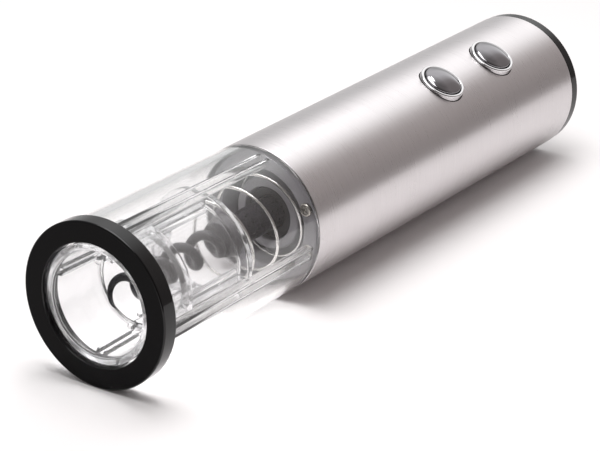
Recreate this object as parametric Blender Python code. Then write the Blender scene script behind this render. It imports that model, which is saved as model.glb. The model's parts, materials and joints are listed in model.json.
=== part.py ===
# Electric wine opener, lying on its side.
# World X runs along the opener, from the open mouth (-X) to the battery cap (+X), and Z is up.
# Everything hangs on the empty "opener": its own Z axis is the opener's long axis, and z = 0 there
# is the front face of the mouth ring, so each piece is placed by its distance from the mouth.
import math

import bmesh
import bpy
from mathutils import Matrix, Vector

# ---------------------------------------------------------------- driving dimensions, in metres
SLEEVE_RADIUS = 0.0250
SLEEVE_WALL = 0.0008
SLEEVE_START = 0.0808
SLEEVE_LENGTH = 0.1585
FIT = 0.0003                 # gap between pieces that touch or seat on each other
SIDES = 48                   # facets of the large round pieces
INNER = 36                   # facets of the round pieces inside the sleeve
FINE = 20                    # facets of the small round pieces
SMALL = 8                    # facets of screws, pins and wires

RING_LENGTH = 0.0057
RING_STEP = 0.00105          # how far the ring stands out past the clear tube
RING_BEVEL = 0.0008
RING_FLOOR = 0.0027          # depth from the ring's face to the seat of the tube

TUBE_FLARE = 0.0007          # the clear tube widens by this much towards the mouth
TUBE_WALL = 0.0013           # wall of its tail, inside the sleeve
TUBE_TAIL = 0.0077
TUBE_LIP = 0.0018            # wall of the spigot inside the ring
RAIL_HEIGHT = 0.0023
RAIL_WIDTH = 0.0011
RAIL_SPREAD = 8.0            # degrees between the two rails of a pair
RAIL_ANGLE = 192.0
RAIL_PAIRS = 4
RAIL_END_GAP = 0.0020

CUP_START = 0.0015
CUP_LENGTH = 0.0485
CUP_WALL = 0.0031
CUP_SEAT_DEPTH = 0.0195      # how far a bottle's lip goes in
CUP_REAR_WALL = 0.0028
CUP_FLANGE_WALL = 0.0022
CUP_PLAY = 0.00055           # between the cup and the hole of the ring
NECK_RADIUS = 0.0162         # bottle lip
CORK_RADIUS = 0.0134
GRIP_RIB = 0.0009
FIN_WIDTH = 0.0014
FIN_ROOT = 0.0010            # how far a fin reaches into the cup's thick front
GRIP_INSET = (0.0030, 0.0010)    # of a grip rib from the two ends of the cork's bore
CUP_CHAMFER = 0.0012

WORM_TIP = 0.0098
WORM_RADIUS = 0.0039         # helix radius to the middle of the wire
WORM_WIRE = 0.0016
WORM_PITCH = 0.0117
WORM_END = 0.0612
WORM_TAPER = 0.6             # length of the ground point, in turns
WORM_POINT = 0.22            # the point's thickness, as a share of the wire's
HUB_START = 0.0570
HUB_LENGTH = 0.0065
HUB_FRONT_RADIUS = 0.0058
HUB_REAR_RADIUS = 0.0074
HUB_RIM = 0.0010
SPINDLE_RADIUS = 0.0053

SPRING_RADIUS = 0.0147
SPRING_WIRE = 0.0005
SPRING_TURNS = 3.1

BULKHEAD_START = 0.0820
BULKHEAD_LENGTH = 0.0150
BULKHEAD_RIM_STEP = 0.0070   # length of the narrow rim that plugs the clear tube
BULKHEAD_BEVEL = 0.0012
GROOVE_INNER = 0.0122
GROOVE_OUTER = 0.0162
GROOVE_FLOOR = 0.0920
BOSS_START = 0.0850
SEAL_RADIUS = 0.0086
SEAL_START = 0.0868
SEAL_LENGTH = 0.0025
BUSH_WALL = 0.0022
RUNNING = 0.00015            # radial clearance of a shaft or pin in its hole
SCREW_HEAD_SHARE = 0.6       # a screw head's height, as a share of its radius
COVER_SCREW_RADIUS = 0.0010
COVER_SCREW_HEAD = 0.0021
COVER_SCREW_CIRCLE = 0.0194
COVER_SCREW_LENGTH = 0.0260
COVER_SCREW_ANGLES = (22.0, 158.0, 202.0, 338.0)

MODULE = 0.00085
SUN_TEETH = 9
PLANET_TEETH = 15
PLANETS = 3
GEAR_WIDTH = 0.0070
CARRIER_PLATE = 0.0032
CARRIER_RIM = 0.0030         # plate outside the planet pins
CARRIER_AIR = 0.0008         # from the bulkhead to the first carrier
PIN_RADIUS = 0.0017
GEARBOX_END_PLATE = 0.0030
TOOTH_TIP = 0.85             # heights and widths of a tooth, as shares of the module or the pitch
TOOTH_ROOT = 1.15
TOOTH_TIP_HALF = 0.115
TOOTH_ROOT_HALF = 0.33
CHASSIS_WALL = 0.0017
RIB_WALL = 0.0020
RIB_SETBACK = (0.0040, 0.0060)   # from the two ends of the motor

MOTOR_RADIUS = 0.01385
MOTOR_LENGTH = 0.0330
MOTOR_WALL = 0.0010
BELL_LENGTH = 0.0052
BELL_BEVEL = 0.0015
SHAFT_TAIL = 0.0012          # shaft that shows behind the end bell
MOTOR_BOSS_RADIUS = 0.0050
MOTOR_BOSS_LENGTH = 0.0020
SHAFT_RADIUS = 0.00115
ARMATURE_RADIUS = 0.0075
ARMATURE_SETBACK = 0.0060    # from each end of the motor can
MOTOR_SCREW_CIRCLE = 0.0080
MOTOR_SCREW_RADIUS = 0.00125
MOTOR_SCREW_BITE = 0.0012    # how far it goes into the can

CELL_RADIUS = 0.00725
CELL_LENGTH = 0.0505
CELL_NUB_RADIUS = 0.00275
CELL_NUB = 0.0010
CELL_PLAY = 0.0003
CELL_BEVEL = 0.0004
TRAY_WALL = 0.0010
TRAY_PLATE = 0.0020
CONTACT_ROOM = 0.0028        # between the tray's front wall and the cells
CONTACT_RADIUS = 0.0035
CONTACT_THICKNESS = 0.0006
CONTACT_SPRING_FRONT = 0.0045
CONTACT_SPRING_REAR = 0.0025
CONTACT_SPRING_WIRE = 0.0003
CONTACT_SPRING_TURNS = 2.5

CAP_LENGTH = 0.0039          # the part of the cap that shows behind the sleeve
CAP_SKIRT = 0.0080
CAP_WALL = 0.0013
COLLAR_LENGTH = 0.0165
COLLAR_WALL = 0.0014
CAP_BOARD = 0.0012
CAP_PLATE = 0.0004
CAP_FLOOR = 0.0012           # depth of the step behind the contact board
CAP_BEVEL = 0.0006
CAP_INSET = 0.00015
CONTACT_MARGIN = 0.0030      # from a cell's centre to the edge of the strip that joins two cells

BUTTON_ANGLE = 118.0         # degrees from +Y towards +Z, round the opener's axis
BUTTON_FROM_REAR = (0.0353, 0.0675)
BUTTON_RADIUS = 0.0066
BUTTON_STAND = 0.0032        # the dome's top above the sleeve
BUTTON_TRAVEL = 0.0008
BEZEL_RADIUS = 0.0080
BEZEL_WALL = 0.0011
BEZEL_STAND = 0.0009
BUTTON_STEM = 0.0025
BUTTON_SKIRT = 0.0014        # how far the button's edge starts below the sleeve
BUTTON_EDGE = 0.0013         # height of the dome's edge above the sleeve
BEZEL_BEVEL = 0.0004
BEZEL_DEPTH = 0.0029         # from the bezel's foot to the outside of the sleeve
BOARD_THICKNESS = 0.0016
BOARD_WIDTH = 0.0200
BOARD_MARGIN = (0.0120, 0.0110)  # board past the centres of the front and the rear button
SWITCH_SIZE = 0.0060
SWITCH_HEIGHT = 0.0022
PLUNGER_RADIUS = 0.0016
PLUNGER_HEIGHT = 0.0009
WIRE_RADIUS = 0.0006
LEAD_SETBACK = 0.008775       # from the battery tray forwards to where the leads meet the board
MOTOR_LEAD_SIDE = 0.0082     # of the motor leads from the middle of the board
BATTERY_LEAD_SIDE = 0.0040
LEAD_HOLE_INSET = 0.0030     # of the battery leads from the tray's wall

# ---------------------------------------------------------------- worked-out places and radii
SLEEVE_END = SLEEVE_START + SLEEVE_LENGTH
SLEEVE_BORE = SLEEVE_RADIUS - SLEEVE_WALL
INSERT_RADIUS = SLEEVE_BORE - FIT            # whatever slides into the sleeve
LENGTH = SLEEVE_END + FIT + CAP_LENGTH

CUP_RADIUS = NECK_RADIUS + CUP_WALL
RING_HOLE = CUP_RADIUS + CUP_PLAY
TUBE_FRONT_RADIUS = SLEEVE_RADIUS + TUBE_FLARE
TUBE_BORE = INSERT_RADIUS - TUBE_WALL
SPIGOT_RADIUS = TUBE_BORE + TUBE_LIP
RING_RADIUS = TUBE_FRONT_RADIUS + RING_STEP
TUBE_END = SLEEVE_START + TUBE_TAIL
RAIL_TIP = TUBE_BORE - RAIL_HEIGHT
AXIS_HEIGHT = RING_RADIUS * math.cos(math.pi / SIDES)

CUP_END = CUP_START + CUP_LENGTH
CUP_SEAT = CUP_START + CUP_SEAT_DEPTH
CUP_REAR_RADIUS = CORK_RADIUS + CUP_REAR_WALL
FLANGE_RADIUS = RAIL_TIP - FIT

HUB_END = HUB_START + HUB_LENGTH
BULKHEAD_END = BULKHEAD_START + BULKHEAD_LENGTH
BULKHEAD_RIM = TUBE_BORE - FIT
BUSH_RADIUS = SPINDLE_RADIUS + RUNNING + BUSH_WALL
BUSH_START = SEAL_START + SEAL_LENGTH + FIT

RING_GEAR_TEETH = SUN_TEETH + 2 * PLANET_TEETH
PITCH_RADIUS = {"sun": MODULE * SUN_TEETH / 2, "planet": MODULE * PLANET_TEETH / 2,
                "ring": MODULE * RING_GEAR_TEETH / 2}
PLANET_ORBIT = PITCH_RADIUS["sun"] + PITCH_RADIUS["planet"]
CARRIER_RADIUS = PLANET_ORBIT + PIN_RADIUS + CARRIER_RIM
CHASSIS_BORE = INSERT_RADIUS - CHASSIS_WALL
GEARBOX_RADIUS = CHASSIS_BORE - FIT
GEARBOX_START = BULKHEAD_END + FIT
CARRIER_TWO = GEARBOX_START + CARRIER_AIR
GEARS_TWO = CARRIER_TWO + CARRIER_PLATE + 2 * FIT
CARRIER_ONE = GEARS_TWO + GEAR_WIDTH + 2 * FIT
GEARS_ONE = CARRIER_ONE + CARRIER_PLATE + 2 * FIT
RING_GEAR_END = GEARS_ONE + GEAR_WIDTH + MOTOR_SCREW_RADIUS + 2 * FIT
MOTOR_PLATE = RING_GEAR_END + FIT
MOTOR_START = MOTOR_PLATE + GEARBOX_END_PLATE + FIT
MOTOR_END = MOTOR_START + MOTOR_LENGTH
BELL_END = MOTOR_END + FIT + BELL_LENGTH

CAP_START = SLEEVE_END + FIT
CAP_BOARD_END = CAP_START - FIT
CAP_PLATE_END = CAP_BOARD_END - CAP_BOARD - FIT
CELLS_END = CAP_PLATE_END - CAP_PLATE - FIT
CELLS_START = CELLS_END - CELL_LENGTH
TRAY_START = CELLS_START - CONTACT_ROOM - TRAY_PLATE
COLLAR_END = SLEEVE_END - FIT
COLLAR_START = COLLAR_END - COLLAR_LENGTH
COLLAR_BORE = INSERT_RADIUS - COLLAR_WALL
SKIRT_RADIUS = COLLAR_BORE - FIT
SKIRT_BORE = SKIRT_RADIUS - CAP_WALL
CELL_PITCH = CELL_RADIUS + CELL_PLAY / 2
TRAY_BORE = CELL_PITCH + CELL_RADIUS + CELL_PLAY
TRAY_SIDE = TRAY_BORE + TRAY_WALL            # the flat side that carries the control board
TRAY_TUBE_END = COLLAR_START - FIT
CHASSIS_END = TRAY_START - FIT

BOARD_BASE = TRAY_SIDE + FIT
BOARD_TOP = BOARD_BASE + BOARD_THICKNESS
BUTTON_PLACES = [SLEEVE_END - distance for distance in BUTTON_FROM_REAR]
BOARD_START = BUTTON_PLACES[1] - BOARD_MARGIN[0]
BOARD_END = BUTTON_PLACES[0] + BOARD_MARGIN[1]
CUTTER_REACH = SLEEVE_RADIUS + 0.0050
PLUNGER_TOP = BOARD_TOP + FIT + SWITCH_HEIGHT + PLUNGER_HEIGHT

materials = {}


def material(name, colour, roughness, metallic=0.0, alpha=1.0):
    if name not in materials:
        made = bpy.data.materials.new(name)
        made.use_nodes = True
        shader = made.node_tree.nodes["Principled BSDF"]
        shader.inputs["Base Color"].default_value = (*colour, 1.0)
        shader.inputs["Roughness"].default_value = roughness
        shader.inputs["Metallic"].default_value = metallic
        shader.inputs["Alpha"].default_value = alpha
        materials[name] = made
    return materials[name]


STEEL = ("brushed_steel", (0.62, 0.60, 0.59), 0.32, 1.0)
BLACK = ("black_plastic", (0.010, 0.010, 0.012), 0.18)
CLEAR = ("clear_plastic", (0.92, 0.94, 0.95), 0.05, 0.0, 0.3)
CHROME = ("chrome", (0.85, 0.85, 0.86), 0.06, 1.0)
SPRING_STEEL = ("spring_steel", (0.75, 0.74, 0.72), 0.22, 1.0)
COATED = ("worm_coating", (0.030, 0.028, 0.028), 0.28)
SILVER = ("silver_plastic", (0.42, 0.42, 0.43), 0.45)
GREY = ("grey_plastic", (0.16, 0.16, 0.17), 0.55)
GEAR_STEEL = ("gear_steel", (0.40, 0.39, 0.37), 0.40, 1.0)
BRONZE = ("bearing_bronze", (0.50, 0.30, 0.12), 0.38, 1.0)
GREEN = ("circuit_board", (0.02, 0.12, 0.05), 0.45)
CELL_WRAP = ("cell_wrap", (0.03, 0.06, 0.14), 0.35)
CELL_END = ("plated_steel", (0.60, 0.59, 0.57), 0.30, 1.0)
RUBBER = ("seal_rubber", (0.02, 0.02, 0.02), 0.75)
RED_WIRE = ("red_insulation", (0.45, 0.02, 0.02), 0.50)
BLACK_WIRE = ("black_insulation", (0.015, 0.015, 0.015), 0.50)


def empty(name, parent=None, location=(0, 0, 0), rotation=(0, 0, 0)):
    made = bpy.data.objects.new(name, None)
    bpy.context.scene.collection.objects.link(made)
    made.parent = parent
    made.location = location
    made.rotation_euler = rotation
    return made


def piece(name, bm, finish, parent, location=(0, 0, 0), turn=0.0):
    """Makes a named object from a bmesh, turned about its own Z axis."""
    bmesh.ops.recalc_face_normals(bm, faces=bm.faces)
    mesh = bpy.data.meshes.new(name)
    bm.to_mesh(mesh)
    bm.free()
    mesh.shade_smooth()
    mesh.set_sharp_from_angle(angle=math.radians(35))
    made = bpy.data.objects.new(name, mesh)
    bpy.context.scene.collection.objects.link(made)
    mesh.materials.append(material(*finish))
    made.parent = parent
    made.location = location
    made.rotation_euler = (0, 0, turn)
    return made


def tool(made):
    """Marks an object as a cutter or an operand that isn't a piece itself."""
    made.hide_render = True
    made.display_type = "WIRE"
    return made


def combine(target, other, operation):
    step = target.modifiers.new(operation.lower() + "_" + other.name, "BOOLEAN")
    step.operation = operation
    step.object = tool(other)
    step.solver = "EXACT"


def around(degrees):
    """The opener's own polar angle for a direction given from +Y towards +Z in the world."""
    return math.radians(degrees + 90.0)


def turned_mesh(profile, sides=SIDES, phase=None, start=0.0, sweep=2 * math.pi):
    """Turns (radius, z) points round Z. A full turn joins up, a part turn gets two flat ends.

    The profile is a closed outline, or runs from one point on the axis to another.
    """
    full = sweep >= 2 * math.pi
    steps = sides if full else max(2, round(sides * sweep / (2 * math.pi)))
    first = start if not full else (math.pi / sides if phase is None else phase)
    bm = bmesh.new()
    rings = []
    for step in range(steps if full else steps + 1):
        angle = first + sweep * step / steps
        rings.append([bm.verts.new((r * math.cos(angle), r * math.sin(angle), z)) for r, z in profile])
    on_axis = profile[0][0] == 0.0 and profile[-1][0] == 0.0
    spans = len(profile) - 1 if on_axis else len(profile)
    for step in range(steps):
        here, there = rings[step], rings[(step + 1) % len(rings)]
        for index in range(spans):
            after = (index + 1) % len(profile)
            bm.faces.new((here[index], here[after], there[after], there[index]))
    if not full:
        bm.faces.new(rings[0])
        bm.faces.new(rings[-1])
    bmesh.ops.remove_doubles(bm, verts=bm.verts, dist=1e-7)
    return bm


def tube_profile(inner, outer, low, high):
    return [(inner, low), (outer, low), (outer, high), (inner, high)]


def rod_profile(radius, low, high):
    return [(0.0, low), (radius, low), (radius, high), (0.0, high)]


def extruded_mesh(outlines, low, high):
    """Extrudes a flat shape along Z. The first outline is its edge, and the others are its holes."""
    bm = bmesh.new()
    for outline in outlines:
        corners = [bm.verts.new((x, y, low)) for x, y in outline]
        for index, corner in enumerate(corners):
            bm.edges.new((corner, corners[(index + 1) % len(corners)]))
    filled = bmesh.ops.triangle_fill(bm, edges=bm.edges[:], use_beauty=True, normal=(0, 0, 1))
    base = [item for item in filled["geom"] if isinstance(item, bmesh.types.BMFace)]
    grown = bmesh.ops.extrude_face_region(bm, geom=base, use_keep_orig=True)
    tops = [item for item in grown["geom"] if isinstance(item, bmesh.types.BMVert)]
    bmesh.ops.translate(bm, verts=tops, vec=(0, 0, high - low))
    return bm


def swept_mesh(points, radii, sides):
    """A closed tube along a list of points, with its own radius at each."""
    bm = bmesh.new()
    rings = []
    side = None
    for index, point in enumerate(points):
        before, after = points[max(index - 1, 0)], points[min(index + 1, len(points) - 1)]
        along = (after - before).normalized()
        if side is None:
            side = along.orthogonal().normalized()
        side = (side - along * side.dot(along)).normalized()
        other = along.cross(side)
        rings.append([])
        for step in range(sides):
            angle = 2 * math.pi * step / sides
            offset = side * math.cos(angle) + other * math.sin(angle)
            rings[-1].append(bm.verts.new(point + offset * radii[index]))
    for here, there in zip(rings, rings[1:]):
        for step in range(sides):
            after = (step + 1) % sides
            bm.faces.new((here[step], here[after], there[after], there[step]))
    bm.faces.new(rings[0])
    bm.faces.new(rings[-1])
    return bm


def circle(radius, sides, centre=(0.0, 0.0), phase=0.0):
    angles = [phase + 2 * math.pi * step / sides for step in range(sides)]
    return [(centre[0] + radius * math.cos(a), centre[1] + radius * math.sin(a)) for a in angles]


def box_mesh(low, high):
    return extruded_mesh([[(low[0], low[1]), (high[0], low[1]), (high[0], high[1]), (low[0], high[1])]],
                         low[2], high[2])


def rounded_square(half, corner, steps=4):
    outline = []
    for quarter in range(4):
        turn = quarter * math.pi / 2
        middle = Matrix.Rotation(turn, 2) @ Vector((half - corner, half - corner))
        for step in range(steps + 1):
            angle = turn + step * math.pi / 2 / steps
            outline.append((middle.x + corner * math.cos(angle), middle.y + corner * math.sin(angle)))
    return outline


def gear_outline(teeth, internal=False, phase=0.0):
    """Straight-sided teeth, with a tooth centred on the phase angle. An internal gear's teeth point in."""
    pitch_radius = MODULE * teeth / 2
    reach = -1 if internal else 1
    tip = pitch_radius + reach * TOOTH_TIP * MODULE
    root = pitch_radius - reach * TOOTH_ROOT * MODULE
    flank = ((root, -TOOTH_ROOT_HALF), (tip, -TOOTH_TIP_HALF), (tip, TOOTH_TIP_HALF), (root, TOOTH_ROOT_HALF))
    tooth = 2 * math.pi / teeth
    outline = []
    for index in range(teeth):
        middle = phase + tooth * index
        for radius, offset in flank:
            angle = middle + offset * tooth
            outline.append((radius * math.cos(angle), radius * math.sin(angle)))
    return outline


def make_sleeve(opener, button_frames):
    tube = turned_mesh(tube_profile(SLEEVE_BORE, SLEEVE_RADIUS, SLEEVE_START, SLEEVE_END))
    sleeve = piece("steel_sleeve", tube, STEEL, opener)
    for index, frame in enumerate(button_frames):
        hole = turned_mesh(rod_profile(BEZEL_RADIUS + FIT, BOARD_TOP, CUTTER_REACH), FINE)
        combine(sleeve, piece(f"sleeve_hole_{index}", hole, STEEL, frame), "DIFFERENCE")


def make_mouth_ring(opener):
    seat = SPIGOT_RADIUS + FIT
    profile = [(RING_HOLE, 0.0), (RING_RADIUS - RING_BEVEL, 0.0), (RING_RADIUS, RING_BEVEL),
               (RING_RADIUS, RING_LENGTH - RING_BEVEL / 2), (RING_RADIUS - RING_BEVEL / 2, RING_LENGTH),
               (seat, RING_LENGTH), (seat, RING_FLOOR), (RING_HOLE, RING_FLOOR)]
    piece("mouth_ring", turned_mesh(profile), BLACK, opener)


def make_clear_tube(opener):
    front = RING_FLOOR + FIT
    shoulder = RING_LENGTH + FIT
    step = SLEEVE_START - FIT
    profile = [(TUBE_BORE, front), (SPIGOT_RADIUS, front), (SPIGOT_RADIUS, shoulder),
               (TUBE_FRONT_RADIUS, shoulder), (SLEEVE_RADIUS, step), (INSERT_RADIUS, step),
               (INSERT_RADIUS, TUBE_END), (TUBE_BORE, TUBE_END)]
    tube = piece("clear_tube", turned_mesh(profile), CLEAR, opener)
    half = RAIL_WIDTH / 2
    for pair in range(RAIL_PAIRS):
        for side in (-0.5, 0.5):
            angle = around(RAIL_ANGLE + pair * 360.0 / RAIL_PAIRS + side * RAIL_SPREAD)
            rail = box_mesh((RAIL_TIP, -half, shoulder + RAIL_END_GAP),
                            (TUBE_BORE + TUBE_WALL / 2, half, SLEEVE_START - RAIL_END_GAP))
            name = f"rail_{pair}_{'left' if side < 0 else 'right'}"
            combine(tube, piece(name, rail, CLEAR, opener, turn=angle), "UNION")


def make_guide_cup(opener):
    flange = CUP_END - CUP_FLANGE_WALL
    neck = CUP_SEAT + (CUP_RADIUS - CUP_REAR_RADIUS)
    profile = [(NECK_RADIUS + CUP_CHAMFER, CUP_START), (CUP_RADIUS, CUP_START), (CUP_RADIUS, CUP_SEAT),
               (CUP_REAR_RADIUS, neck), (CUP_REAR_RADIUS, flange), (FLANGE_RADIUS, flange),
               (FLANGE_RADIUS, CUP_END), (CORK_RADIUS, CUP_END), (CORK_RADIUS, CUP_SEAT),
               (NECK_RADIUS, CUP_SEAT), (NECK_RADIUS, CUP_START + CUP_CHAMFER)]
    cup = piece("guide_cup", turned_mesh(profile), CLEAR, opener)
    half = FIN_WIDTH / 2
    for index in range(4):
        angle = around(45.0 + 90.0 * index)
        fin = box_mesh((CUP_REAR_RADIUS - CUP_REAR_WALL / 2, -half, CUP_SEAT - FIN_ROOT),
                       (CUP_RADIUS - FIT, half, flange + CUP_FLANGE_WALL / 4))
        combine(cup, piece(f"cup_fin_{index}", fin, CLEAR, opener, turn=angle), "UNION")
        grip = box_mesh((CORK_RADIUS - GRIP_RIB, -half, CUP_SEAT + GRIP_INSET[0]),
                        (CORK_RADIUS + CUP_REAR_WALL / 2, half, CUP_END - GRIP_INSET[1]))
        combine(cup, piece(f"cork_grip_{index}", grip, CLEAR, opener, turn=angle), "UNION")


def helix(radius, start, end, pitch, phase, per_turn):
    turns = (end - start) / pitch
    count = round(turns * per_turn)
    points = []
    for step in range(count + 1):
        angle = phase + 2 * math.pi * turns * step / count
        place = start + (end - start) * step / count
        points.append(Vector((radius * math.cos(angle), radius * math.sin(angle), place)))
    return points


def make_spring(opener):
    start = CUP_END + SPRING_WIRE + FIT
    end = GROOVE_FLOOR - SPRING_WIRE - FIT
    points = helix(SPRING_RADIUS, start, end, (end - start) / SPRING_TURNS, around(0.0), 18)
    piece("cup_spring", swept_mesh(points, [SPRING_WIRE] * len(points), 5), SPRING_STEEL, opener)


def worm_points(start):
    turns = (WORM_END - start) / WORM_PITCH
    return helix(WORM_RADIUS, start, WORM_END, WORM_PITCH, worm_phase() - 2 * math.pi * turns, 14)


def worm_phase():
    """The helix's angle at its end inside the hub. At the tip it points to the underside."""
    return around(-90.0) + 2 * math.pi * (WORM_END - WORM_TIP) / WORM_PITCH


def make_worm(opener):
    points = worm_points(WORM_TIP)
    taper = WORM_TAPER * WORM_PITCH
    radii = [WORM_WIRE * min(1.0, WORM_POINT + (1 - WORM_POINT) * (p.z - WORM_TIP) / taper) for p in points]
    piece("worm", swept_mesh(points, radii, 7), COATED, opener)
    profile = [(0.0, HUB_START), (HUB_FRONT_RADIUS, HUB_START), (HUB_REAR_RADIUS, HUB_END - HUB_RIM),
               (HUB_REAR_RADIUS, HUB_END), (0.0, HUB_END)]
    hub = piece("worm_hub", turned_mesh(profile, FINE), GREY, opener)
    inside = worm_points(HUB_START - 0.5 * WORM_PITCH)
    inside.append(inside[-1] + (inside[-1] - inside[-2]).normalized() * FIT)
    socket = swept_mesh(inside, [WORM_WIRE + FIT] * len(inside), SMALL)
    combine(hub, piece("hub_socket", socket, GREY, opener), "DIFFERENCE")
    start = HUB_END + FIT
    end = CARRIER_TWO - FIT
    piece("output_spindle", turned_mesh(rod_profile(SPINDLE_RADIUS, start, end), FINE), COATED, opener)


def screw_mesh(radius, head_radius, head_top, length):
    """A pan-head screw whose head faces down its own Z axis."""
    neck = head_top + head_radius * SCREW_HEAD_SHARE
    crown, edge = head_radius * 0.7, neck - head_radius * 0.25
    return turned_mesh([(0.0, head_top), (crown, head_top), (head_radius, edge), (head_radius, neck),
                        (radius, neck), (radius, neck + length), (0.0, neck + length)], SMALL)


def make_bulkhead(opener):
    hole = SPINDLE_RADIUS + 2 * FIT
    step = BULKHEAD_START + BULKHEAD_RIM_STEP
    bush_hole = BUSH_RADIUS + FIT
    seal_hole = SEAL_RADIUS + FIT
    profile = [(GROOVE_OUTER, BULKHEAD_START), (BULKHEAD_RIM - BULKHEAD_BEVEL, BULKHEAD_START),
               (BULKHEAD_RIM, BULKHEAD_START + BULKHEAD_BEVEL), (BULKHEAD_RIM, step), (INSERT_RADIUS, step),
               (INSERT_RADIUS, BULKHEAD_END), (bush_hole, BULKHEAD_END), (bush_hole, BUSH_START),
               (seal_hole, BUSH_START - FIT), (seal_hole, BOSS_START), (GROOVE_INNER, BOSS_START),
               (GROOVE_INNER, GROOVE_FLOOR), (GROOVE_OUTER, GROOVE_FLOOR)]
    bulkhead = piece("bulkhead", turned_mesh(profile, INNER), SILVER, opener)
    seal = tube_profile(hole, SEAL_RADIUS, SEAL_START, SEAL_START + SEAL_LENGTH)
    piece("spindle_seal", turned_mesh(seal, FINE), RUBBER, opener)
    bush = tube_profile(SPINDLE_RADIUS + RUNNING, BUSH_RADIUS, BUSH_START, BULKHEAD_END - FIT)
    piece("output_bush", turned_mesh(bush, FINE), BRONZE, opener)
    return bulkhead


def make_cover_screws(opener, bulkhead, ring_gear):
    head_top = BULKHEAD_START - FIT - COVER_SCREW_HEAD * SCREW_HEAD_SHARE
    for index, degrees in enumerate(COVER_SCREW_ANGLES):
        angle = around(degrees)
        place = (COVER_SCREW_CIRCLE * math.cos(angle), COVER_SCREW_CIRCLE * math.sin(angle), 0.0)
        screw = screw_mesh(COVER_SCREW_RADIUS, COVER_SCREW_HEAD, head_top, COVER_SCREW_LENGTH)
        piece(f"cover_screw_{index + 1}", screw, CELL_END, opener, place)
        tip = BULKHEAD_START + COVER_SCREW_LENGTH + FIT
        hole = rod_profile(COVER_SCREW_RADIUS + FIT, BULKHEAD_START - COVER_SCREW_HEAD, tip)
        cutter = piece(f"cover_screw_hole_{index + 1}", turned_mesh(hole, SMALL), CELL_END, opener, place)
        combine(bulkhead, cutter, "DIFFERENCE")
        combine(ring_gear, cutter, "DIFFERENCE")


def planet_angles():
    return [2 * math.pi * index / PLANETS for index in range(PLANETS)]


def make_carrier(opener, name, start):
    """A carrier plate with one pin for each planet, on the side away from the mouth."""
    plate = extruded_mesh([circle(CARRIER_RADIUS, FINE)], start, start + CARRIER_PLATE)
    carrier = piece(name, plate, GEAR_STEEL, opener)
    pin_end = start + CARRIER_PLATE + 2 * FIT + GEAR_WIDTH
    for index, angle in enumerate(planet_angles()):
        place = (PLANET_ORBIT * math.cos(angle), PLANET_ORBIT * math.sin(angle), 0.0)
        pin = turned_mesh(rod_profile(PIN_RADIUS, start + CARRIER_PLATE / 2, pin_end), SMALL)
        combine(carrier, piece(f"{name}_pin_{index + 1}", pin, GEAR_STEEL, opener, place), "UNION")
    return carrier


def make_gear_stage(opener, stage, start):
    """The sun and its planets, in mesh: each planet is turned until its gaps face the sun's teeth."""
    low, high = start, start + GEAR_WIDTH
    bore = PIN_RADIUS + 3 * RUNNING
    for index, angle in enumerate(planet_angles()):
        place = (PLANET_ORBIT * math.cos(angle), PLANET_ORBIT * math.sin(angle), 0.0)
        turn = angle + math.pi - math.pi / PLANET_TEETH + angle * SUN_TEETH / PLANET_TEETH
        planet = extruded_mesh([gear_outline(PLANET_TEETH), circle(bore, SMALL)], low, high)
        piece(f"stage_{stage}_planet_{index + 1}", planet, GEAR_STEEL, opener, place, turn)


def make_gearbox(opener):
    phase = (PLANET_TEETH / 2 - 1) * 2 * math.pi / RING_GEAR_TEETH
    outlines = [circle(GEARBOX_RADIUS, INNER), gear_outline(RING_GEAR_TEETH, True, phase)]
    ring_gear = piece("ring_gear", extruded_mesh(outlines, GEARBOX_START, RING_GEAR_END), GREY, opener)
    make_carrier(opener, "stage_two_carrier", CARRIER_TWO)
    make_gear_stage(opener, "two", GEARS_TWO)
    carrier = make_carrier(opener, "stage_one_carrier", CARRIER_ONE)
    sun_two = extruded_mesh([gear_outline(SUN_TEETH)], GEARS_TWO, CARRIER_ONE + CARRIER_PLATE / 2)
    combine(carrier, piece("stage_two_sun", sun_two, GEAR_STEEL, opener), "UNION")
    make_gear_stage(opener, "one", GEARS_ONE)
    return ring_gear


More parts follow.
